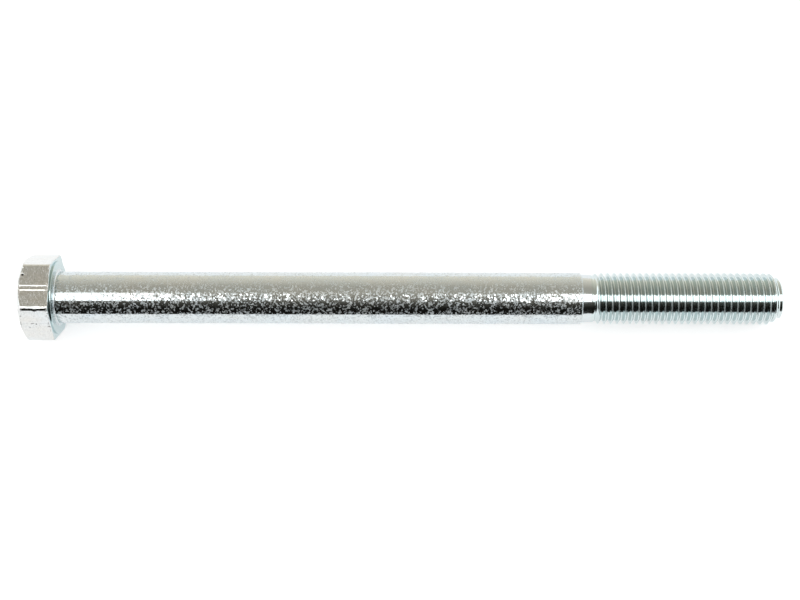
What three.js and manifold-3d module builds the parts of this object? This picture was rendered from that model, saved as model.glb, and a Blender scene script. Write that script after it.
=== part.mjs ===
// M16 x 220 hexagon head bolt, partly threaded, lying on one of its six wrench flats.
// The bolt is one steel forging. Each mesh is one region of it, named as a fitter would name it, and
// neighbouring regions meet face to face on a plane across the axis.
//
// Millimetres. +X runs along the axis from the head to the point, +Z is up, and the origin is the
// centre of the head's top face.

import * as THREE from "three";
import { mergeVertices } from "three/addons/utils/BufferGeometryUtils.js";
import Module from "manifold-3d";

const wasm = await Module();
wasm.setup();

// Driving dimensions.
const boltLength = 222; // bearing face to the end of the point: 220 and its tolerance
const shankDiameter = 16;
const headHeight = 10; // top face to bearing face
const acrossFlats = 24;
const threadPitch = 2;
const threadLength = 58.5; // the start of the thread run-out to the end of the point

// Head details.
const cornerRadius = 0.5; // the long edges between two flats
const topFaceRadius = 11.4; // where the top chamfer starts
const topChamferAngle = Math.PI / 6;
const cornerBreak = 0.3; // off the flats' corners at the bearing side
const washerFaceRadius = 11.25;
const washerFaceHeight = 0.5;
const washerFaceBreak = 0.2;

// Shank details.
const filletRadius = 0.8; // under the head
const neckRadius = 7.35; // the thread blank, at the thread's pitch diameter
const neckLength = 3;
const shoulderLength = 0.9; // the taper from the shank down to the neck

// Thread details: a rolled 60 degree right-hand thread.
const threadMajorRadius = 8;
const threadMinorRadius = 6.77;
const flankAngle = Math.PI / 6; // from the plane across the axis
const crestWidth = 0.25;
const crestPhase = 0.53; // pitches from a whole turn to the crest on the +Y side
const runOutLength = 3; // over which the thread grows from the neck to its full depth
const pointRadius = 6.1;
const pointLength = 3.25;

// Facets.
const roundSegments = 48;
const cornerSegments = 2;
const filletSegments = 4;
const threadSegments = 24; // per turn

// Stations along the axis.
const bearingX = headHeight;
const endX = headHeight + boltLength;
const threadX = endX - threadLength;
const neckX = threadX - neckLength;
const pointX = endX - pointLength;

const zincPlate = { metalness: 1 };
const forgedZinc = new THREE.MeshStandardMaterial({ ...zincPlate, color: 0xb4b4a8, roughness: 0.42 });
const turnedZinc = new THREE.MeshStandardMaterial({ ...zincPlate, color: 0xbccccf, roughness: 0.28 });
const drawnZinc = new THREE.MeshStandardMaterial({ ...zincPlate, color: 0xc6cac6, roughness: 0.32 });
const rolledZinc = new THREE.MeshStandardMaterial({ ...zincPlate, color: 0xc4d2d4, roughness: 0.18 });

// A solid of revolution about the X axis, from an outline of [x, radius] points.
function revolve(outline) {
  const points = outline.map(([x, radius]) => new THREE.Vector2(radius, x));
  return new THREE.LatheGeometry(points, roundSegments).rotateZ(-Math.PI / 2);
}

// A closed geometry as a solid that can be cut, by its positions alone.
function toSolid(geometry) {
  const bare = geometry.clone().deleteAttribute("normal").deleteAttribute("uv");
  const merged = mergeVertices(bare);
  const vertProperties = merged.attributes.position.array;
  const triVerts = new Uint32Array(merged.index.array);
  return new wasm.Manifold(new wasm.Mesh({ numProp: 3, vertProperties, triVerts }));
}

// A solid as a geometry with one normal for each face.
function toGeometry(solid) {
  const { vertProperties, triVerts } = solid.getMesh();
  const indexed = new THREE.BufferGeometry();
  indexed.setAttribute("position", new THREE.BufferAttribute(vertProperties, 3));
  indexed.setIndex(new THREE.BufferAttribute(triVerts, 1));
  const faceted = indexed.toNonIndexed();
  faceted.computeVertexNormals();
  return faceted;
}

// A hexagon with rounded corners, two of them on the shape's Y axis.
function hexagon() {
  const arcCentre = (acrossFlats / 2 - cornerRadius) / Math.cos(Math.PI / 6);
  const shape = new THREE.Shape();
  for (let corner = 0; corner < 6; corner++) {
    const middle = Math.PI / 2 + (corner * Math.PI) / 3;
    const x = arcCentre * Math.cos(middle);
    const y = arcCentre * Math.sin(middle);
    shape.absarc(x, y, cornerRadius, middle - Math.PI / 6, middle + Math.PI / 6, false);
  }
  return shape;
}

// The prism that the wrench turns, inside a round envelope that chamfers its corners at both ends.
function hexHead() {
  const height = headHeight - washerFaceHeight;
  const prism = new THREE.ExtrudeGeometry(hexagon(), {
    depth: height,
    bevelEnabled: false,
    curveSegments: cornerSegments,
  });
  prism.rotateY(Math.PI / 2);
  const clearRadius = acrossFlats * 0.6;
  const chamferDepth = (clearRadius - topFaceRadius) * Math.tan(topChamferAngle);
  const bearingSideRadius = acrossFlats / Math.sqrt(3) - cornerBreak;
  const breakDepth = clearRadius - bearingSideRadius;
  const envelope = revolve([
    [0, 0],
    [0, topFaceRadius],
    [chamferDepth, clearRadius],
    [height - breakDepth, clearRadius],
    [height, bearingSideRadius],
    [height, 0],
  ]);
  return toGeometry(toSolid(prism).intersect(toSolid(envelope)));
}

// The round bearing disc that stands proud of the hexagon's underside. Its free face is a ring of its
// own, from the fillet under the head out to the rim.
function washerFace() {
  return revolve([
    [0, 0],
    [0, washerFaceRadius],
    [washerFaceHeight - washerFaceBreak, washerFaceRadius],
    [washerFaceHeight, washerFaceRadius - washerFaceBreak],
    [washerFaceHeight, shankDiameter / 2 + filletRadius],
    [washerFaceHeight, 0],
  ]);
}

// The plain cylinder, with the fillet that carries it into the bearing face.
function shank() {
  const radius = shankDiameter / 2;
  const length = neckX - bearingX;
  const fillet = [];
  for (let step = 0; step <= filletSegments; step++) {
    const angle = (step / filletSegments) * (Math.PI / 2);
    const x = filletRadius * (1 - Math.cos(angle));
    fillet.push([x, radius + filletRadius * (1 - Math.sin(angle))]);
  }
  return revolve([[0, 0], ...fillet, [length, radius], [length, 0]]);
}

// The short length of thread blank that the rolling dies leave bare.
function threadNeck() {
  return revolve([
    [0, 0],
    [0, shankDiameter / 2],
    [shoulderLength, neckRadius],
    [neckLength, neckRadius],
    [neckLength, 0],
  ]);
}

// The corners of the thread form over one pitch, as shares of the pitch from the middle of the crest.
const halfCrest = crestWidth / 2 / threadPitch;
const flankRun = ((threadMajorRadius - threadMinorRadius) * Math.tan(flankAngle)) / threadPitch;
const formCorners = [-halfCrest - flankRun, -halfCrest, halfCrest, halfCrest + flankRun];

// The thread's radius at x, on the line that lies `turned` turns round from the +Y side.
function threadRadius(x, turned) {
  const pitches = x / threadPitch - turned - crestPhase;
  const fromCrest = Math.abs(pitches - Math.round(pitches));
  const downFlank = THREE.MathUtils.clamp((fromCrest - halfCrest) / flankRun, 0, 1);
  const full = THREE.MathUtils.lerp(threadMajorRadius, threadMinorRadius, downFlank);
  const grown = THREE.MathUtils.clamp((x - threadX) / runOutLength, 0, 1);
  return THREE.MathUtils.lerp(neckRadius, full, grown);
}

// The threaded rod between two planes across the axis, closed by a disc on each. Its columns of
// vertices run along the bolt, and its rows follow the helix, so the last column joins the first with
// each row one pitch further on. A row that leaves the stretch is held on the plane that it crosses.
function threadedRod(fromX, toX) {
  const firstTurn = Math.floor(fromX / threadPitch) - 2;
  const turns = Math.ceil((toX - fromX) / threadPitch) + 4;
  const rows = turns * formCorners.length;
  const positions = [];
  for (let column = 0; column < threadSegments; column++) {
    const turned = column / threadSegments;
    const angle = turned * Math.PI * 2;
    for (let row = 0; row < rows; row++) {
      const turn = firstTurn + Math.floor(row / formCorners.length);
      const corner = formCorners[row % formCorners.length];
      const helixX = threadPitch * (turn + turned + crestPhase + corner);
      const x = THREE.MathUtils.clamp(helixX, fromX, toX);
      const radius = threadRadius(x, turned);
      positions.push(x - fromX, radius * Math.cos(angle), radius * Math.sin(angle));
    }
  }
  const startCentre = threadSegments * rows;
  const endCentre = startCentre + 1;
  positions.push(0, 0, 0, toX - fromX, 0, 0);

  const vertex = (column, row) =>
    column < threadSegments ? column * rows + row : row + formCorners.length;
  const triangles = [];
  for (let column = 0; column < threadSegments; column++) {
    const next = column + 1;
    const lastRow = rows - 1 - (next < threadSegments ? 0 : formCorners.length);
    for (let row = 0; row < lastRow; row++) {
      triangles.push(vertex(column, row), vertex(next, row), vertex(next, row + 1));
      triangles.push(vertex(column, row), vertex(next, row + 1), vertex(column, row + 1));
    }
    triangles.push(startCentre, vertex(next, 0), vertex(column, 0));
    triangles.push(endCentre, vertex(column, lastRow), vertex(next, lastRow));
  }
  const rod = new THREE.BufferGeometry();
  rod.setAttribute("position", new THREE.Float32BufferAttribute(positions, 3));
  rod.setIndex(triangles);
  return rod;
}

// The threaded stretch that keeps its full crest diameter.
function rolledThread() {
  return toGeometry(toSolid(threadedRod(threadX, pointX)));
}

// The end of the thread, cut back by the cone that starts it into a nut.
function chamferedPoint() {
  const clearance = 0.1;
  const cone = revolve([
    [0, 0],
    [0, threadMajorRadius + clearance],
    [pointLength, pointRadius],
    [pointLength, 0],
  ]);
  return toGeometry(toSolid(threadedRod(pointX, endX)).intersect(toSolid(cone)));
}

function region(name, geometry, material, x) {
  const mesh = new THREE.Mesh(geometry, material);
  mesh.name = name;
  mesh.position.x = x;
  return mesh;
}

const bolt = new THREE.Group();
bolt.add(
  region("hex_head", hexHead(), forgedZinc, 0),
  region("washer_face", washerFace(), turnedZinc, headHeight - washerFaceHeight),
  region("shank", shank(), drawnZinc, bearingX),
  region("thread_neck", threadNeck(), drawnZinc, neckX),
  region("rolled_thread", rolledThread(), rolledZinc, threadX),
  region("chamfered_point", chamferedPoint(), rolledZinc, pointX),
);

export default bolt;
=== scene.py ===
"""A bright zinc-plated M16 x 220 hexagon head bolt, lying on one wrench flat and the end of its thread.

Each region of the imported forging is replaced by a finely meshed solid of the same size: a hexagon head
with rounded edges, trimming marks and nicks, a turned washer face, a dimpled shank, a smooth thread neck,
a rounded rolled thread and its chamfered point. Metres, in the frame's own axes: +X from head to point.
Angles round the bolt count from +Y towards +Z, so 90 degrees is the top and 180 the front.
"""

from math import cos, pi, radians, sin, tan

import bmesh
import bpy
import numpy as np
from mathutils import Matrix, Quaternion, Vector


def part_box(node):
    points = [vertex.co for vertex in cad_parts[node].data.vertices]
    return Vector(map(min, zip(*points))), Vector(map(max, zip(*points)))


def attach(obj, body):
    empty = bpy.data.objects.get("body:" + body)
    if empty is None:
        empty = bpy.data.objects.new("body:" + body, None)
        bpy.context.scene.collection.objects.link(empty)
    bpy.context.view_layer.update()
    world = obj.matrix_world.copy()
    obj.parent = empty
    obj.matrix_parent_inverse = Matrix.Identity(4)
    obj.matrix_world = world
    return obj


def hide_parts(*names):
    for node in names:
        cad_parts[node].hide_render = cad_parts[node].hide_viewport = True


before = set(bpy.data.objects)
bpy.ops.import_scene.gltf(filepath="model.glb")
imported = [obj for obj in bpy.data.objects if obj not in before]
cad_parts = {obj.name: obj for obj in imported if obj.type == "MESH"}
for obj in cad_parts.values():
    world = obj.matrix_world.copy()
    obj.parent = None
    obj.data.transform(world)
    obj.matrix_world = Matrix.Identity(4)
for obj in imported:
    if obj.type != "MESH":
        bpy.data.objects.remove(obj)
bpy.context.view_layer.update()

MM = 0.001
TURN = 2 * pi

# Stations and radii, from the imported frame.
HEAD_LOW, HEAD_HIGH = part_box("hex_head")
RING_LOW, RING_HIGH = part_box("washer_face")
SHANK_LOW, SHANK_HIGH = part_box("shank")
NECK_LOW, NECK_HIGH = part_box("thread_neck")
THREAD_LOW, THREAD_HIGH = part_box("rolled_thread")
POINT_LOW, POINT_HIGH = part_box("chamfered_point")
FLAT_DISTANCE = HEAD_HIGH.z
HALF_FLAT = FLAT_DISTANCE * tan(radians(30))
CORNER_DISTANCE = HEAD_HIGH.y
HEAD_HEIGHT = HEAD_HIGH.x - HEAD_LOW.x
RING_RADIUS = RING_HIGH.z
SHANK_RADIUS = NECK_HIGH.z
FILLET_RADIUS = SHANK_HIGH.z - SHANK_RADIUS
CREST_RADIUS = THREAD_HIGH.z


# ---------------------------------------------------------------- mesh helpers

SHARP_ANGLE = radians(55)    # an edge that turns further than this isn't shaded smooth
MERGE_DISTANCE = 1e-8


def smooth_step(low, high, value):
    """0 at low, 1 at high, and an S curve between them. low may be above high."""
    t = np.clip((value - low) / (high - low), 0, 1)
    return t * t * (3 - 2 * t)


def round_min(a, b, blend):
    """The smaller of two distances, with the corner where they cross rounded off over blend."""
    h = np.clip(0.5 + (b - a) / (2 * blend), 0, 1)
    return b + (a - b) * h - blend * h * (1 - h)


def bump(x, y, at_x, at_y, wide_x, wide_y):
    """A rounded bump of unit height, wide_x by wide_y, at a place on a surface."""
    return np.exp(-((x - at_x) / wide_x) ** 2 - ((y - at_y) / wide_y) ** 2)


def grain(seed, shape, sizes):
    """Seeded bumps over a grid, with unit deviation. sizes are in grid steps, along each axis."""
    noise = np.random.default_rng(seed).standard_normal(shape)
    along = np.fft.fftfreq(shape[0])[:, None] * sizes[0]
    across = np.fft.fftfreq(shape[1])[None, :] * sizes[1]
    reach = along**2 + across**2
    field = np.fft.ifft2(np.fft.fft2(noise) * reach * np.exp(-2 * reach)).real
    return field / field.std()


def finish_piece(piece, material, node):
    """Shades a mesh, gives it its material, and lets it stand for a CAD node on the bolt's only body."""
    piece.data.shade_smooth()
    piece.data.set_sharp_from_angle(angle=SHARP_ANGLE)
    piece.data.materials.append(material)
    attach(piece, "root")
    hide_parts(node)


def new_mesh(name, points, faces):
    """A mesh object, with the points that coincide merged and the faces between them gone."""
    mesh = bpy.data.meshes.new(name)
    mesh.from_pydata(points, [], faces)
    shape = bmesh.new()
    shape.from_mesh(mesh)
    bmesh.ops.remove_doubles(shape, verts=shape.verts, dist=MERGE_DISTANCE)
    shape.to_mesh(mesh)
    shape.free()
    piece = bpy.data.objects.new(name, mesh)
    bpy.context.collection.objects.link(piece)
    return piece


def ring_solid(name, x, radius, angles):
    """A closed solid. x and radius hold one row for each ring and one column for each angle."""
    rings, columns = radius.shape
    x = np.broadcast_to(x, radius.shape)
    points = np.stack([x, radius * np.cos(angles), radius * np.sin(angles)], -1).reshape(-1, 3)
    ring, column = np.meshgrid(np.arange(rings - 1), np.arange(columns), indexing="ij")
    here = ring * columns + column
    beside = ring * columns + (column + 1) % columns
    quads = np.stack([here, beside, beside + columns, here + columns], -1).reshape(-1, 4)
    points = np.vstack([points, [x[0].mean(), 0, 0], [x[-1].mean(), 0, 0]])
    start = rings * columns
    last = start - columns
    first_cap = [(start, (i + 1) % columns, i) for i in range(columns)]
    last_cap = [(start + 1, last + i, last + (i + 1) % columns) for i in range(columns)]
    return new_mesh(name, points.tolist(), quads.tolist() + first_cap + last_cap)


# ---------------------------------------------------------------- the head

TOP_FACE_RADIUS = 11.4 * MM
TOP_CHAMFER_ANGLE = radians(30)
CORNER_BREAK = 0.3 * MM    # off the flats' corners at the bearing side
TOP_FLAT = radians(90)    # the angle of its middle round the bolt
FRONT_FLAT = radians(150)
DISH_DEPTH = 0.12 * MM    # of the top face
EDGE_ROUNDING = 0.9 * MM    # along each flat, from where it starts to turn into the next one
CHAMFER_ROUNDING = 0.4 * MM
BREAK_ROUNDING = 0.3 * MM
RIM_ROUNDING = 0.22 * MM    # where the flats turn into the underside

# Marks on the flats.
RIDGES = (-0.53 * MM, 0.87 * MM)    # the trimming die's witness lines, from each flat's middle
RIDGE_HALF_WIDTH = 0.17 * MM
RIDGE_HEIGHT = 0.06 * MM
FAINT_RIDGE = 0.25    # how high they stand on the flats other than the top one
WAVE_HEIGHT = 0.006 * MM
CHIP_DEPTH = 0.08 * MM
HEAD_PIT = Vector((1.5 * MM, 3.8 * MM, FLAT_DISTANCE))    # a pit in the top flat; the material paints it black as its shade
HEAD_PIT_WIDTH = 0.28 * MM
HEAD_PIT_DEPTH = 0.12 * MM
NICK_X = 5.6 * MM    # in the edge between the top flat and the front one
NICK_DEPTH = 0.22 * MM
DENTS = (    # in the front flat, in mm: from the top face, from the flat's middle, and depth
    (4.4, -2.0, 0.08),
    (5.2, -0.6, 0.09),
    (3.1, 0.8, 0.07),
    (6.2, 1.9, 0.07),
)


def flat_stations():
    """Places across one wrench flat, closest together at the ridges, the pit and the rounded edges."""
    plain = np.arange(-HALF_FLAT, HALF_FLAT, 0.42 * MM)
    edges = np.arange(0, EDGE_ROUNDING * 1.2, 0.09 * MM)
    ridges = [at + np.arange(-6, 7) * RIDGE_HALF_WIDTH / 3 for at in RIDGES]
    pit = -HEAD_PIT.y + np.arange(-6, 7) * 0.08 * MM
    places = np.sort(np.concatenate([plain, edges - HALF_FLAT, HALF_FLAT - edges[1:], pit, *ridges]))
    apart = np.concatenate([[True], np.diff(places) > 0.02 * MM])
    return places[apart]


def side_stations():
    """Places along the head's side, closest together at its two ends."""
    end_steps = 0.06 * MM * np.arange(12)
    middle_steps = np.linspace(end_steps[-1], HEAD_HEIGHT - end_steps[-1], 52)[1:-1]
    return np.concatenate([end_steps, middle_steps, (HEAD_HEIGHT - end_steps)[::-1]])[:, None]


def on_flat_at(middle, angles):
    """Whether each angle round the bolt is on the flat that has its middle at that angle."""
    return np.abs(angles - middle) < radians(30)


def flat_outline(across):
    """The distance from the axis to the hexagon's outline, at places across one flat."""
    turned_in = np.clip(1 - (HALF_FLAT - np.abs(across)) / EDGE_ROUNDING, 0, 1)
    cut = EDGE_ROUNDING * tan(radians(30)) / 2 * turned_in**2
    return np.hypot(FLAT_DISTANCE - cut, across)


def trimming_marks(from_bearing, across, angles, inside_chamfer):
    """How far the double lines, the waves and the chipped edges stand out of the head's flats."""
    shape = inside_chamfer.shape
    on_flat = smooth_step(0.4 * MM, 1.2 * MM, inside_chamfer)
    on_flat = on_flat * smooth_step(0.3 * MM, 1 * MM, from_bearing)
    ridge_height = RIDGE_HEIGHT * np.where(on_flat_at(TOP_FLAT, angles), 1, FAINT_RIDGE)
    marks = on_flat * WAVE_HEIGHT * grain(3, shape, (7, 16))
    for at in RIDGES:
        marks = marks + on_flat * ridge_height * np.exp(-((across - at) / RIDGE_HALF_WIDTH) ** 2)

    near_top = 1 - smooth_step(0.2 * MM, 1.3 * MM, inside_chamfer)
    near_bearing = 1 - smooth_step(0.1 * MM, 1.1 * MM, from_bearing)
    chips = np.clip(grain(5, shape, (4, 5)) - 0.6, 0, None)
    return marks - CHIP_DEPTH * chips * np.maximum(near_top, near_bearing)


def handling_marks(x, across, angles):
    """How deep the top flat's pit, the front flat's dents and the nick between the two are."""
    on_front_flat = on_flat_at(FRONT_FLAT, angles)
    pit = bump(x, across, HEAD_PIT.x, -HEAD_PIT.y, HEAD_PIT_WIDTH, HEAD_PIT_WIDTH)
    depth = on_flat_at(TOP_FLAT, angles) * HEAD_PIT_DEPTH * pit
    nick = bump(x, across, NICK_X, 0.3 * MM - HALF_FLAT, 0.4 * MM, 0.5 * MM)
    depth = depth + on_front_flat * NICK_DEPTH * nick
    for at_x, at_across, dent_depth in DENTS:
        dent = bump(x, across, at_x * MM, at_across * MM, 0.3 * MM, 0.25 * MM)
        depth = depth + on_front_flat * dent_depth * MM * dent
    return depth


def head_side(x, across, angles):
    """The distance from the axis to the head's side, over the places along it and round it."""
    from_bearing = HEAD_HEIGHT - x
    outline = flat_outline(across)[None, :]
    chamfer = TOP_FACE_RADIUS + x / tan(TOP_CHAMFER_ANGLE)
    side = round_min(outline, chamfer, CHAMFER_ROUNDING)
    side = round_min(side, CORNER_DISTANCE - CORNER_BREAK + from_bearing, BREAK_ROUNDING)
    side = side + trimming_marks(from_bearing, across, angles, chamfer - outline)
    side = side - handling_marks(x, across, angles)
    close_to_end = np.clip(1 - from_bearing / RIM_ROUNDING, 0, 1)
    return side - RIM_ROUNDING * (1 - np.sqrt(1 - 0.99 * close_to_end**2))


def top_face(rim):
    """The rings of the dished and pitted top face, from its middle to its rim: places and radii."""
    share = np.linspace(0.02, 0.99, 32)[:, None]
    radius = share * rim[None, :]
    dish = DISH_DEPTH * (1 - share**2)
    pits = 0.012 * MM * grain(9, radius.shape, (3, 14)) * smooth_step(0.08, 0.3, share)
    return (dish + pits) * smooth_step(1, 0.94, share), radius


def hex_head(material, underside):
    """The head: flats with raised double witness lines, rounded edges, dents and a dished top face. Its
    underside has the washer face's darker material, partly painted shade."""
    across = flat_stations()
    sideways = np.arctan2(across, FLAT_DISTANCE)
    flat_angles = radians(30) + radians(60) * np.arange(6)
    angles = (flat_angles[:, None] + sideways[None, :]).ravel()
    side_x = side_stations()
    side = head_side(side_x, np.tile(across, 6), angles)
    top_x, top_r = top_face(side[0])
    under_r = np.linspace(0.97, 0.02, 10)[:, None] * side[-1][None, :]
    radius = np.vstack([top_r, side, under_r])
    x = np.vstack([
        top_x,
        np.broadcast_to(side_x, side.shape),
        np.full(under_r.shape, HEAD_HEIGHT),
    ])
    head = ring_solid("hex_head_forging", x + HEAD_LOW.x, radius, angles)
    finish_piece(head, material, "hex_head")
    head.data.materials.append(underside)
    # the faces towards the shank take the darker material, partly painted shade of the corner under the
    # head
    for face in head.data.polygons:
        if face.normal.x > 0.9:
            face.material_index = 1


# ---------------------------------------------------------------- the washer face

WASHER_RIM = 0.18 * MM    # the radius of its rounded edge
TOOL_RING_PITCH = 0.16 * MM
TOOL_RING_DEPTH = 0.004 * MM


def washer_face(material):
    """The turned bearing disc, with tool rings on its face and a rounded rim."""
    angles = np.linspace(0, TURN, 300, endpoint=False)
    height = RING_HIGH.x - RING_LOW.x
    arc = np.linspace(0, pi / 2, 9)[1:]
    face_r = np.linspace(RING_RADIUS - WASHER_RIM, SHANK_RADIUS, 90)[1:]
    tool_rings = TOOL_RING_DEPTH * (1 - np.cos(TURN * face_r / TOOL_RING_PITCH)) / 2
    x = np.concatenate([
        [0, 0],
        np.linspace(0, height - WASHER_RIM, 5),
        height - WASHER_RIM + WASHER_RIM * np.sin(arc),
        height - tool_rings,
        [height],
    ])
    r = np.concatenate([
        [0.2 * RING_RADIUS, 0.9 * RING_RADIUS],
        np.full(5, RING_RADIUS),
        RING_RADIUS - WASHER_RIM + WASHER_RIM * np.cos(arc),
        face_r,
        [0.2 * RING_RADIUS],
    ])
    radius = np.repeat(r[:, None], len(angles), 1)
    disc = ring_solid("washer_face_disc", x[:, None] + RING_LOW.x, radius, angles)
    finish_piece(disc, material, "washer_face")


# ---------------------------------------------------------------- the shank

SHANK_COLUMNS = 120
FILLET_LENGTH = 0.4 * MM    # along the bolt: the corner turns more tightly than a round one
DIMPLE_DEPTH = 0.005 * MM
SMOOTH_ENDS = 0.4    # the share of the dimples and the crystal grains that is left at the two ends
SCRATCH_X = 152 * MM    # where it starts
SCRATCH_LENGTH = 7 * MM
SCRATCH_ANGLES = (radians(105), radians(124))    # round the bolt, at its start and at its end
SCRATCH_HALF_WIDTH = 0.22 * MM
SCRATCH_DEPTH = 0.05 * MM
SHANK_PIT_X = 52 * MM
SHANK_PIT_ANGLE = radians(150)
SHANK_PIT_DEPTH = 0.12 * MM


def dimples(x, length):
    """Close shallow dimples in patches, over a column of places along the shank and all round it."""
    shape = (len(x), SHANK_COLUMNS)
    small = grain(7, shape, (2.6, 5.5))
    patches = np.clip(0.85 + 0.3 * grain(11, shape, (70, 40)), 0.3, 1.4)
    fade = smooth_step(1.5 * MM, 12 * MM, x) * smooth_step(0, 2.5 * MM, length - x)
    off_the_ends = smooth_step(8 * MM, 40 * MM, x) * smooth_step(2 * MM, 14 * MM, length - x)
    worn = SMOOTH_ENDS + (1 - SMOOTH_ENDS) * off_the_ends
    return DIMPLE_DEPTH * fade * worn * patches * small


def scratch_and_pit(x, angles):
    """How deep the one long scratch and the one large pit are, at places in the frame's own metres."""
    along = (x - SCRATCH_X) / SCRATCH_LENGTH
    start_angle, end_angle = SCRATCH_ANGLES
    beside = SHANK_RADIUS * (angles - start_angle - (end_angle - start_angle) * along)
    on_scratch = smooth_step(-0.05, 0.05, along) * smooth_step(1.05, 0.95, along)
    scratch = SCRATCH_DEPTH * on_scratch * np.exp(-((beside / SCRATCH_HALF_WIDTH) ** 2))
    beside_pit = SHANK_RADIUS * (angles - SHANK_PIT_ANGLE)
    return scratch + SHANK_PIT_DEPTH * bump(x, beside_pit, SHANK_PIT_X, 0, 0.3 * MM, 0.4 * MM)


def shank(material):
    """The drawn shank: a fillet under the head, then close dimples, one long scratch and one pit."""
    angles = np.linspace(0, TURN, SHANK_COLUMNS, endpoint=False)
    arc = np.linspace(0, pi / 2, 10)
    fillet_x = FILLET_LENGTH * (1 - np.cos(arc))
    fillet_r = SHANK_RADIUS + FILLET_RADIUS * (1 - np.sin(arc))
    length = SHANK_HIGH.x - SHANK_LOW.x
    plain_x = np.linspace(FILLET_LENGTH, length, 790)[1:]
    x = np.concatenate([fillet_x, plain_x])[:, None]
    radius = np.concatenate([fillet_r, np.full(len(plain_x), SHANK_RADIUS)])[:, None]
    radius = radius + dimples(x, length) - scratch_and_pit(x + SHANK_LOW.x, angles)
    bar = ring_solid("shank_bar", x + SHANK_LOW.x, radius, angles)
    finish_piece(bar, material, "shank")


# ---------------------------------------------------------------- the thread and its neck

NECK_RADIUS = 7.35 * MM
NECK_TAPER = 0.25 * MM    # how much the neck's radius falls after its shoulder
SHOULDER_LENGTH = 0.35 * MM
PITCH = 2 * MM
ROOT_RADIUS = 6.77 * MM
CREST_WIDTH = 0.25 * MM
CREST_CAMBER = 0.025 * MM
CREST_ROUNDING = 0.1    # shares of the thread's depth
ROOT_ROUNDING = 0.05
FLANK_ANGLE = radians(30)
CREST_PHASE = 0.53    # pitches from a whole turn to the crest on the +Y side
RUN_OUT = 3 * MM
POINT_RADIUS = 6.1 * MM
POINT_GROOVE = 0.5 * MM    # how deep the thread's groove still is on the point's cone
POINT_ROUNDING = 0.08 * MM
END_DISH = 0.03 * MM


def thread_neck(material):
    """The bare blank between the shank and the thread: a rounded shoulder, then a slight taper."""
    columns = 240
    angles = np.linspace(0, TURN, columns, endpoint=False)
    length = NECK_HIGH.x - NECK_LOW.x
    x = length * np.linspace(0, 1, 60)[:, None] ** 1.5
    shoulder = SHANK_RADIUS - NECK_RADIUS - NECK_TAPER
    radius = SHANK_RADIUS - shoulder * smooth_step(0, SHOULDER_LENGTH, x) - NECK_TAPER * x / length
    radius = np.repeat(radius, columns, 1)
    blank = ring_solid("thread_neck_blank", x + NECK_LOW.x, radius, angles)
    finish_piece(blank, material, "thread_neck")


def thread_radius(x, turned):
    """The rolled thread's radius at x, on the line `turned` turns round from +Y: rounded crests and
    roots, growing out of the neck over the run-out and cut back by the point's cone."""
    pitches = x / PITCH - turned - CREST_PHASE
    from_crest = np.abs(pitches - np.round(pitches)) * PITCH
    depth = CREST_RADIUS - ROOT_RADIUS
    down = (from_crest - CREST_WIDTH / 2) / (depth * tan(FLANK_ANGLE))
    down = -round_min(-down, np.zeros_like(down), CREST_ROUNDING)
    down = round_min(down, np.ones_like(down), ROOT_ROUNDING)
    down = np.clip(down, 0, 1)
    camber = CREST_CAMBER * np.minimum(2 * from_crest / CREST_WIDTH, 1) ** 2
    full = CREST_RADIUS - camber - depth * down
    grown = smooth_step(THREAD_LOW.x, THREAD_LOW.x + RUN_OUT, x)
    cone_slope = (CREST_RADIUS - POINT_RADIUS) / (POINT_HIGH.x - POINT_LOW.x)
    cone = POINT_RADIUS + (POINT_HIGH.x - x) * cone_slope - POINT_GROOVE * down
    return round_min(NECK_RADIUS + (full - NECK_RADIUS) * grown, cone, POINT_ROUNDING)


def threaded_rod(name, from_x, to_x, material, node):
    """The threaded rod between two planes. Its rows follow the helix, so the last column joins the first
    with each row one pitch further on, and a row past a plane is held on it. Rings close its far end."""
    columns = 120
    half_form = np.array([0.02, 0.04, 0.06, 0.075, 0.1, 0.25, 0.395, 0.425, 0.45])    # in pitches
    form = np.concatenate([-half_form[::-1], [0], half_form])
    first_turn = int(from_x / PITCH) - 2
    turns = int((to_x - from_x) / PITCH) + 5
    rows = turns * len(form)
    turned = (np.arange(columns) / columns)[None, :]
    along = (first_turn + np.arange(turns)[:, None] + form).reshape(-1, 1)
    x = np.clip(PITCH * (along + turned + CREST_PHASE), from_x, to_x)
    radius = thread_radius(x, turned)

    share = np.linspace(0.985, 0.02, 40)[:, None]
    tool_marks = grain(13, (len(share), columns), (3, 6))
    end_x = to_x - END_DISH * smooth_step(0.97, 0.8, share) * (1 + 0.3 * tool_marks)
    x = np.vstack([x, end_x])
    radius = np.vstack([radius, share * radius[-1][None, :]])
    angle = turned * TURN
    points = np.stack([x, radius * np.cos(angle), radius * np.sin(angle)], -1).reshape(-1, 3)
    start, end = len(points), len(points) + 1
    points = np.vstack([points, [from_x, 0, 0], [x[-1].mean(), 0, 0]])

    def vertex(row, column):
        """The index of a grid point. Past the last column the thread's rows go on one turn further."""
        if column < columns:
            return row * columns + column
        return (row + len(form)) * columns

    faces = []
    last_ring = rows + len(share) - 1
    for column in range(columns):
        beside = column + 1
        joined = rows - 1 - (len(form) if beside == columns else 0)
        for row in range(joined):
            here, there = vertex(row, column), vertex(row, beside)
            faces.append((here, there, vertex(row + 1, beside), vertex(row + 1, column)))
        wrapped = beside % columns
        for row in range(rows - 1, last_ring):
            here, there = row * columns + column, row * columns + wrapped
            faces.append((here, there, there + columns, here + columns))
        faces.append((start, wrapped, column))
        faces.append((end, last_ring * columns + column, last_ring * columns + wrapped))
    rod = new_mesh(name, points.tolist(), faces)
    finish_piece(rod, material, node)


# ---------------------------------------------------------------- material helpers

CLOUD_SIZE = 5 * MM
SMALL_PIT_SIZE = 0.45 * MM
GLOSS_BLEND = 0.26    # of the speckle's range, from polished to frosted


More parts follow.
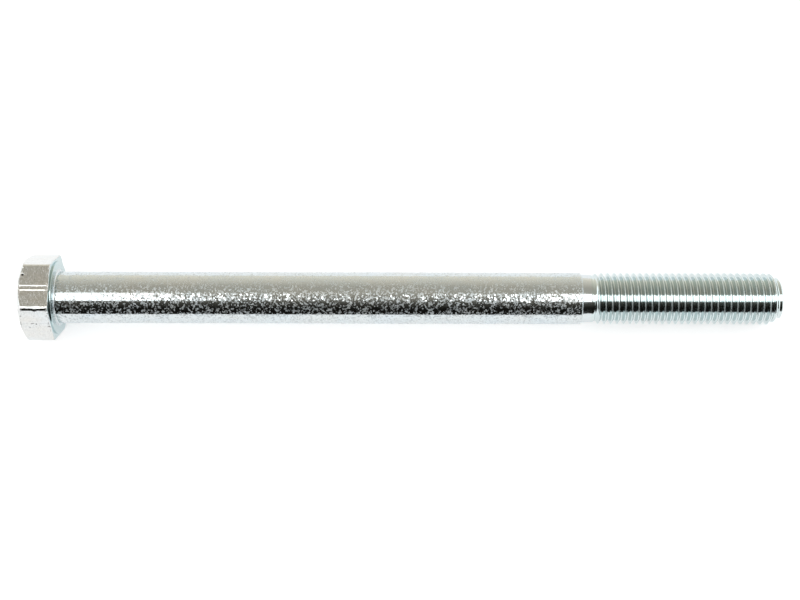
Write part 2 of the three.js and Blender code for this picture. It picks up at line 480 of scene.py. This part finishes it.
def add_node(tree, kind, **inputs):
    """A shader node, with the named inputs set."""
    made = tree.nodes.new("ShaderNode" + kind)
    for name, value in inputs.items():
        made.inputs[name.replace("_", " ")].default_value = value
    return made


def speckle(tree, place, size, stretch, detail):
    """Noise of about that size of grain, stretched along each axis, in the bolt's own coordinates."""
    mapping = add_node(tree, "Mapping", Scale=[1 / (size * longer) for longer in stretch])
    tree.links.new(place, mapping.inputs["Vector"])
    noise = add_node(tree, "TexNoise", Scale=1, Detail=detail, Roughness=0.6)
    tree.links.new(mapping.outputs["Vector"], noise.inputs["Vector"])
    return noise.outputs["Fac"]


def ramp(tree, source, stops):
    """A colour ramp over a noise, from (position, colour) stops."""
    made = add_node(tree, "ValToRGB")
    while len(made.color_ramp.elements) < len(stops):
        made.color_ramp.elements.new(0.5)
    for element, (position, color) in zip(made.color_ramp.elements, stops):
        element.position = position
        element.color = (*color, 1)
    tree.links.new(source, made.inputs["Fac"])
    return made.outputs["Color"]


def link_math(tree, operation, *terms):
    """The result of a maths node on some terms, each a number or another node's output."""
    made = add_node(tree, "Math")
    made.operation = operation
    for socket, term in zip(made.inputs, terms):
        if isinstance(term, (int, float)):
            socket.default_value = term
        else:
            tree.links.new(term, socket)
    return made.outputs[0]


def ease(tree, value, low, high):
    """0 at low, 1 at high and an S curve between them, for a node's output. low may be above high."""
    made = add_node(tree, "MapRange")
    made.interpolation_type = "SMOOTHSTEP"
    made.inputs["From Min"].default_value = low
    made.inputs["From Max"].default_value = high
    tree.links.new(value, made.inputs["Value"])
    return made.outputs["Result"]


def darken(tree, tint, shade):
    """A tint multiplied by a painted shade from 0 to 1, both from other nodes."""
    painted_shade = tree.nodes.new("ShaderNodeMix")
    painted_shade.data_type = "RGBA"
    painted_shade.blend_type = "MULTIPLY"
    painted_shade.inputs["Factor"].default_value = 1
    tree.links.new(tint, painted_shade.inputs["A"])
    tree.links.new(shade, painted_shade.inputs["B"])
    return painted_shade.outputs["Result"]


def paint_small_pit_shade(tree, place, tint, pit_shade):
    """A tint darkened at small pits by the given share, as their painted shade."""
    pits = speckle(tree, place, SMALL_PIT_SIZE, (1, 1, 1), 2)
    return darken(tree, tint, ramp(tree, pits, ((0.26, (1 - pit_shade,) * 3), (0.36, (1, 1, 1)))))


def paint_pit_shade(tree, place, tint, spot):
    """A tint that is black at one spot: the painted shade of a pit."""
    from_spot = add_node(tree, "VectorMath")
    from_spot.operation = "DISTANCE"
    from_spot.inputs[1].default_value = spot
    tree.links.new(place, from_spot.inputs[0])
    return darken(tree, tint, ease(tree, from_spot.outputs["Value"], 0.2 * MM, 0.5 * MM))


def crystal_grains(tree, place, size):
    """Two random numbers from 0 to 1 for each small crystal grain of the plating."""
    cells = add_node(tree, "TexVoronoi", Scale=1 / size)
    tree.links.new(place, cells.inputs["Vector"])
    parts = add_node(tree, "SeparateColor")
    tree.links.new(cells.outputs["Color"], parts.inputs["Color"])
    return parts.outputs["Red"], parts.outputs["Green"]


def worn_zone(tree, place):
    """1 over the middle of the shank, falling to SMOOTH_ENDS towards its two ends, which are smoother."""
    axis = add_node(tree, "SeparateXYZ")
    tree.links.new(place, axis.inputs["Vector"])
    from_head = ease(tree, axis.outputs["X"], SHANK_LOW.x + 5 * MM, SHANK_LOW.x + 40 * MM)
    from_neck = ease(tree, axis.outputs["X"], SHANK_HIGH.x - 2 * MM, SHANK_HIGH.x - 18 * MM)
    both = link_math(tree, "MULTIPLY", from_head, from_neck)
    return link_math(tree, "MULTIPLY_ADD", both, 1 - SMOOTH_ENDS, SMOOTH_ENDS)


def lean_along(tree, normal, amount):
    """A normal that leans along the bolt by an amount, given as a slope."""
    sideways = add_node(tree, "CombineXYZ")
    tree.links.new(amount, sideways.inputs["X"])
    leaning = add_node(tree, "VectorMath")
    leaning.operation = "ADD"
    tree.links.new(normal, leaning.inputs[0])
    tree.links.new(sideways.outputs["Vector"], leaning.inputs[1])
    unit = add_node(tree, "VectorMath")
    unit.operation = "NORMALIZE"
    tree.links.new(leaning.outputs["Vector"], unit.inputs[0])
    return unit.outputs["Vector"]


def leaning_grains(tree, place, normal, size, lean):
    """A normal that leans to and fro along the bolt, mostly a little and by at most `lean`, from one
    crystal grain to the next, and a second random number for each grain."""
    tip, specks = crystal_grains(tree, place, size)
    centred = link_math(tree, "MULTIPLY_ADD", tip, 2, -1)
    mostly_small = link_math(tree, "MULTIPLY", centred, link_math(tree, "ABSOLUTE", centred))
    most = link_math(tree, "MULTIPLY", worn_zone(tree, place), lean)
    return lean_along(tree, normal, link_math(tree, "MULTIPLY", mostly_small, most)), specks


def zinc(name, cool, warm, polished, frosted, grain_size, stretch, bump_depth, pit_shade=0.0, lean=0.0,
         dull_from=0.42, painted_shade_spot=None):
    """Bright zinc plate: cloudy from a cool to a warm tint, polished with frosted specks, with painted
    shade darkening fine pits and, if given, one pit painted black.
    With a lean, it is a field of small crystal grains that lean to and fro along the bolt."""
    material = bpy.data.materials.new(name)
    material.use_nodes = True
    tree = material.node_tree
    shader = tree.nodes["Principled BSDF"]
    shader.inputs["Metallic"].default_value = 1
    place = add_node(tree, "TexCoord").outputs["Object"]

    clouds = speckle(tree, place, CLOUD_SIZE, (2, 1, 1), 4)
    tint = ramp(tree, clouds, ((0.35, cool), (0.65, warm)))
    # painted shade: small pits darkened, and one pit made black
    if pit_shade:
        tint = paint_small_pit_shade(tree, place, tint, pit_shade)
    if painted_shade_spot:
        tint = paint_pit_shade(tree, place, tint, painted_shade_spot)
    tree.links.new(tint, shader.inputs["Base Color"])

    specks = speckle(tree, place, grain_size, stretch, 3)
    relief = add_node(tree, "Bump", Strength=1, Distance=bump_depth)
    tree.links.new(speckle(tree, place, grain_size, stretch, 2), relief.inputs["Height"])
    normal = relief.outputs["Normal"]
    if lean:
        normal, specks = leaning_grains(tree, place, normal, grain_size, lean)
    gloss = ((dull_from, (polished,) * 3), (dull_from + GLOSS_BLEND, (frosted,) * 3))
    tree.links.new(ramp(tree, specks, gloss), shader.inputs["Roughness"])
    tree.links.new(normal, shader.inputs["Normal"])
    return material


# ---------------------------------------------------------------- the plating of each region

COOL = (0.60, 0.66, 0.69)
WARM = (0.62, 0.655, 0.66)


def forged_zinc():
    """The head's: warm, with fine shear marks across the flats, painted shade in small pits, and one pit
    painted black as its shade.
    """
    return zinc("forged_zinc_plate", (0.66, 0.69, 0.70), (0.66, 0.66, 0.64), polished=0.12, frosted=0.3,
                grain_size=0.22 * MM, stretch=(1, 4, 4), bump_depth=0.008 * MM, pit_shade=0.5,
                painted_shade_spot=HEAD_PIT)


def turned_and_shaded_zinc():
    """The washer face's and the head's underside: turned, and the darkest and bluest, partly as painted
    shade of the corner under the head.
    """
    return zinc("turned_and_shaded_zinc_plate", (0.46, 0.58, 0.60), (0.50, 0.59, 0.60), polished=0.12, frosted=0.25,
                grain_size=0.2 * MM, stretch=(1, 5, 5), bump_depth=0.004 * MM)


def drawn_zinc():
    """The shank's: a field of bright crystal grains that lean to and fro, some of them frosted."""
    return zinc("drawn_zinc_plate", COOL, WARM, polished=0.07, frosted=0.55, grain_size=0.42 * MM,
                stretch=(1, 1, 1), bump_depth=0.003 * MM, pit_shade=0.3, lean=0.15, dull_from=0.58)


def bare_zinc():
    """The neck's: smooth."""
    return zinc("bare_zinc_plate", COOL, WARM, polished=0.12, frosted=0.2, grain_size=0.4 * MM,
                stretch=(1, 2, 2), bump_depth=0.003 * MM)


def rolled_zinc():
    """The thread's and the point's: burnished by the rolling dies, and cool."""
    return zinc("rolled_zinc_plate", (0.57, 0.66, 0.67), (0.59, 0.65, 0.65), polished=0.08, frosted=0.16,
                grain_size=0.3 * MM, stretch=(1, 2, 2), bump_depth=0.003 * MM)


# ---------------------------------------------------------------- stage, camera and light

VIEW_CENTRE = 115.16 * MM    # along the bolt, for the camera and the dome
VIEW_ELEVATION = radians(75)
VIEW_DISTANCE = 420 * MM
VIEW_ROLL = radians(0.145)
VIEW_LENS = 61.19
AIM_BELOW = 0.59 * MM
FLOOR_REACH = 4
FLOOR_GLOW = 0.38
FLOOR_CLEARANCE = 1 * MM    # from the table up to the dome's skirts
DOME_RADIUS = 0.5
DOME_REACH = 0.8
DOME_COLUMNS = 161
DOME_DEGREES = np.arange(-1, 182)    # up from the front horizon, and down past the back one
FRONT_SKIRT = 0.2    # how near in front the dome's dark edge comes, low over the table
BACK_SKIRT = 0.09    # how near behind its bright edge comes
BACKDROP_ANGLES = (30, 50, 64, 97, 126, 180)    # degrees up from the front horizon and over to the back
BACKDROP_GLOW = (0.01, 0.07, 0.2, 0.5, 0.53, 1.05)    # at those angles
SOFTBOX_EDGES = (61, 94)    # degrees up from the front horizon
SOFTBOX_BLUR = 3
SOFTBOX_GLOW = 3
LENS_GAP = (-0.156, 0.11)    # metres from the dome's middle, where the camera parts the softbox
GAP_BLUR = 0.03
WALL_GLOW = 1.8
WARM_GREY = np.array([1, 0.93, 0.79])


def make_camera():
    """Steeply above the bolt and square to it, a little in front."""
    towards = Vector((0, -cos(VIEW_ELEVATION), sin(VIEW_ELEVATION)))
    up = Vector((0, sin(VIEW_ELEVATION), cos(VIEW_ELEVATION)))
    data = bpy.data.cameras.new("camera")
    data.lens = VIEW_LENS
    camera = bpy.data.objects.new("camera", data)
    bpy.context.collection.objects.link(camera)
    camera.location = Vector((VIEW_CENTRE, 0, 0)) + up * -AIM_BELOW + towards * VIEW_DISTANCE
    camera.rotation_mode = "QUATERNION"
    level = (-towards).to_track_quat("-Z", "Y")
    camera.rotation_quaternion = level @ Quaternion((0, 0, 1), VIEW_ROLL)
    bpy.context.scene.camera = camera


def stage_mesh(name, points, faces, material):
    """A part of the studio: a mesh that is no part of the bolt."""
    mesh = bpy.data.meshes.new(name)
    mesh.from_pydata(points, [], faces)
    mesh.materials.append(material)
    panel = bpy.data.objects.new(name, mesh)
    bpy.context.collection.objects.link(panel)
    return panel


def table_height(x):
    """The table's height at x: it touches the head's lower flat and the lowest crest at the point."""
    slope = (-CREST_RADIUS - HEAD_LOW.z) / (POINT_LOW.x - HEAD_HIGH.x)
    return HEAD_LOW.z + slope * (x - HEAD_HIGH.x)


def make_floor():
    """The pale table that the bolt lies on."""
    material = bpy.data.materials.new("pale_table")
    material.use_nodes = True
    shader = material.node_tree.nodes["Principled BSDF"]
    shader.inputs["Base Color"].default_value = (0.9, 0.9, 0.9, 1)
    shader.inputs["Roughness"].default_value = 0.9
    shader.inputs["Specular IOR Level"].default_value = 0
    shader.inputs["Emission Color"].default_value = (1, 1, 1, 1)
    shader.inputs["Emission Strength"].default_value = FLOOR_GLOW
    square = ((-1, -1), (1, -1), (1, 1), (-1, 1))
    corners = [(x * FLOOR_REACH, y * FLOOR_REACH, table_height(x * FLOOR_REACH)) for x, y in square]
    stage_mesh("floor", corners, [(0, 1, 2, 3)], material)


def studio_glow(angle, sideways):
    """The colour of the studio at an angle in degrees up from the front horizon, over the bolt and down
    to the back, and at a distance sideways: dark in front, a softbox overhead that the camera parts, and
    a warm grey backdrop that brightens towards the table behind."""
    backdrop = np.interp(angle, BACKDROP_ANGLES, BACKDROP_GLOW)
    left, right = LENS_GAP
    parted = smooth_step(left - GAP_BLUR, left + GAP_BLUR, sideways)
    parted = parted * smooth_step(right + GAP_BLUR, right - GAP_BLUR, sideways)
    low, high = SOFTBOX_EDGES
    lit = smooth_step(low - SOFTBOX_BLUR, low + SOFTBOX_BLUR, angle)
    lit = lit * smooth_step(high + SOFTBOX_BLUR, high - SOFTBOX_BLUR, angle) * (1 - parted)
    return backdrop[..., None] * WARM_GREY + lit[..., None] * SOFTBOX_GLOW


def glowing_sheet(name, x, y, z, colors):
    """A sheet over a grid of points that glows in its own colours. Only the metal sees it."""
    rows, columns = x.shape
    row, column = np.meshgrid(np.arange(rows - 1), np.arange(columns - 1), indexing="ij")
    here = row * columns + column
    faces = np.stack([here, here + 1, here + columns + 1, here + columns], -1).reshape(-1, 4)
    points = np.stack([x, y, z], -1).reshape(-1, 3)

    material = bpy.data.materials.new(name + "_glow")
    material.use_nodes = True
    tree = material.node_tree
    tree.nodes.clear()
    painted = add_node(tree, "VertexColor")
    painted.layer_name = "glow"
    light = add_node(tree, "Emission", Strength=1)
    tree.links.new(painted.outputs["Color"], light.inputs["Color"])
    tree.links.new(light.outputs["Emission"], add_node(tree, "OutputMaterial").inputs["Surface"])

    sheet = stage_mesh(name, points.tolist(), faces.tolist(), material)
    paint = sheet.data.color_attributes.new("glow", "FLOAT_COLOR", "POINT")
    opaque = np.ones((len(points), 1))
    paint.data.foreach_set("color", np.hstack([colors.reshape(-1, 3), opaque]).ravel())
    sheet.visible_camera = False
    sheet.visible_diffuse = False
    sheet.visible_shadow = False


def make_dome():
    """A half cylinder over the bolt that glows as the studio does, with a skirt low over the table in
    front and behind."""
    across = np.linspace(-DOME_REACH, DOME_REACH, DOME_COLUMNS)
    angle, sideways = np.meshgrid(DOME_DEGREES, across, indexing="ij")
    x = sideways + VIEW_CENTRE
    y = -DOME_RADIUS * np.cos(np.radians(angle))
    z = DOME_RADIUS * np.sin(np.radians(angle))
    over_table = table_height(x[0]) + FLOOR_CLEARANCE
    y = np.vstack([np.full_like(x[0], -FRONT_SKIRT), y, np.full_like(x[0], BACK_SKIRT)])
    z = np.vstack([over_table, z, over_table])
    x = np.vstack([x[0], x, x[0]])
    glow = studio_glow(angle, sideways)
    glowing_sheet("studio_dome", x, y, z, np.concatenate([glow[:1], glow, glow[-1:]]))


def make_walls():
    """A white half disc across each end of the dome."""
    radius, angle = np.meshgrid([0, DOME_RADIUS], np.radians(DOME_DEGREES), indexing="ij")
    white = np.full((*radius.shape, 3), WALL_GLOW)
    for name, side in (("studio_end_wall", 1), ("studio_head_wall", -1)):
        x = np.full_like(radius, VIEW_CENTRE + side * DOME_REACH)
        glowing_sheet(name, x, -radius * np.cos(angle), radius * np.sin(angle), white)


def make_light():
    """An even white studio."""
    scene = bpy.context.scene
    scene.view_settings.view_transform = "Standard"
    world = bpy.data.worlds.new("studio")
    scene.world = world
    world.use_nodes = True
    sky = world.node_tree.nodes["Background"]
    sky.inputs["Color"].default_value = (1, 1, 1, 1)
    sky.inputs["Strength"].default_value = 1


make_camera()
make_floor()
make_dome()
make_walls()
make_light()

forged = forged_zinc()
# the turned finish, darkened with painted shade of the corner under the head
turned = turned_and_shaded_zinc()
drawn = drawn_zinc()
bare = bare_zinc()
rolled = rolled_zinc()

hex_head(forged, turned)
washer_face(turned)
shank(drawn)
thread_neck(bare)
threaded_rod("rolled_thread_form", THREAD_LOW.x, THREAD_HIGH.x, rolled, "rolled_thread")
threaded_rod("chamfered_point_end", POINT_LOW.x, POINT_HIGH.x, rolled, "chamfered_point")
